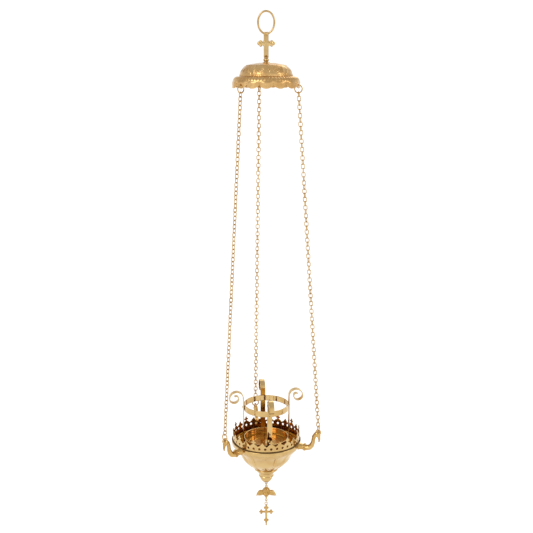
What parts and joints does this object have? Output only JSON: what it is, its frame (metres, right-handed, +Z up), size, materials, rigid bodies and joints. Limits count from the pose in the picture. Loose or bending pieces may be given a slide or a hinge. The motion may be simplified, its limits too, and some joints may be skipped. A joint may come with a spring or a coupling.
{
  "type": "hanging oil lamp",
  "caption": "Hanging brass sanctuary oil lamp: ring and cross, domed canopy, three chains, bowl with pierced crown, glass holder and pendants.",
  "frame": {"origin": "top bearing point inside the suspension ring, where a hook carries the lamp", "axes": "+Z up along the lamp's axis, +X to the right, the cross faces -Y"},
  "size_m": [0.1328, 0.1298, 0.6979],
  "materials": {
    "polished_brass": "polished, gold plated",
    "satin_brass": "satin, gold plated",
    "dark_brass": "darkened in the joint"
  },
  "bodies": {
    "suspension_ring": {"suspension_ring": "polished_brass"},
    "canopy": {"top_cross": "polished_brass", "cross_knob": "polished_brass", "canopy": "satin_brass", "canopy_washer": "polished_brass", "canopy_nut": "polished_brass"},
    "bowl": {"bowl": "polished_brass", "rim_bead": "dark_brass", "crown_gallery": "polished_brass", "holder_upper_band": "polished_brass", "holder_lower_band": "polished_brass", "holder_rivets": "polished_brass", "seat_rivets": "polished_brass", "seat_plate": "polished_brass", "centre_rod": "polished_brass", "centre_spacer": "polished_brass", "lower_cup": "polished_brass", "cup_eye": "polished_brass", "holder_strap_1": "polished_brass", "holder_strap_2": "polished_brass", "holder_strap_3": "polished_brass", "holder_strap_4": "polished_brass", "swan_bracket_1": "polished_brass", "bracket_collar_1": "polished_brass", "bracket_screw_1": "polished_brass", "swan_bracket_2": "polished_brass", "bracket_collar_2": "polished_brass", "bracket_screw_2": "polished_brass", "swan_bracket_3": "polished_brass", "bracket_collar_3": "polished_brass", "bracket_screw_3": "polished_brass"},
    "pendant_ring_1": {"pendant_ring_1": "polished_brass"},
    "cherub": {"cherub_pendant": "polished_brass"},
    "pendant_ring_2": {"pendant_ring_2": "polished_brass"},
    "pendant_ring_3": {"pendant_ring_3": "polished_brass"},
    "cross_pendant": {"cross_pendant": "polished_brass"},
    "chain_1": {"upper_jump_ring_1": "polished_brass", "chain_1": "polished_brass", "lower_jump_ring_1": "polished_brass"},
    "chain_2": {"upper_jump_ring_2": "polished_brass", "chain_2": "polished_brass", "lower_jump_ring_2": "polished_brass"},
    "chain_3": {"upper_jump_ring_3": "polished_brass", "chain_3": "polished_brass", "lower_jump_ring_3": "polished_brass"}
  },
  "joints": [
    {"name": "lamp_swing", "type": "hinge", "parent": "suspension_ring", "child": "canopy", "pos_m": [0, 0, -0.0264], "axis": [1, 0, 0], "range_deg": [-30, 30]},
    {"name": "bowl_sway", "type": "hinge", "parent": "canopy", "child": "bowl", "pos_m": [0, 0, 0.49887], "axis": [0, 1, 0], "range_deg": [-2, 2]},
    {"name": "chain_1_swing", "type": "hinge", "parent": "canopy", "child": "chain_1", "pos_m": [-0.03077, -0.028, -0.0879], "axis": [0, 1, 0], "range_deg": [-4.7, 4.7]},
    {"name": "chain_2_swing", "type": "hinge", "parent": "canopy", "child": "chain_2", "pos_m": [0.03963, -0.01265, -0.0879], "axis": [0, 1, 0], "range_deg": [-4.7, 4.7]},
    {"name": "chain_3_swing", "type": "hinge", "parent": "canopy", "child": "chain_3", "pos_m": [-0.00886, 0.04065, -0.0879], "axis": [0, 1, 0], "range_deg": [-4.7, 4.7]},
    {"name": "upper_small_ring_swing", "type": "hinge", "parent": "bowl", "child": "pendant_ring_1", "pos_m": [0, 0, -0.6325], "axis": [1, 0, 0], "range_deg": [-20, 20]},
    {"name": "cherub_swing", "type": "hinge", "parent": "pendant_ring_1", "child": "cherub", "pos_m": [0, 0, -0.63545], "axis": [0, 1, 0], "range_deg": [-25, 25]},
    {"name": "middle_small_ring_swing", "type": "hinge", "parent": "cherub", "child": "pendant_ring_2", "pos_m": [0, 0, -0.6576], "axis": [1, 0, 0], "range_deg": [-20, 20]},
    {"name": "lower_small_ring_swing", "type": "hinge", "parent": "pendant_ring_2", "child": "pendant_ring_3", "pos_m": [0, 0, -0.66095], "axis": [0, 1, 0], "range_deg": [-20, 20]},
    {"name": "small_cross_swing", "type": "hinge", "parent": "pendant_ring_3", "child": "cross_pendant", "pos_m": [0, 0, -0.66435], "axis": [1, 0, 0], "range_deg": [-30, 30]}
  ],
  "couplings": [
    {"joint": "chain_1_swing", "follows": "bowl_sway", "ratio": 2.2839},
    {"joint": "chain_2_swing", "follows": "bowl_sway", "ratio": 2.2839},
    {"joint": "chain_3_swing", "follows": "bowl_sway", "ratio": 2.2839}
  ]
}
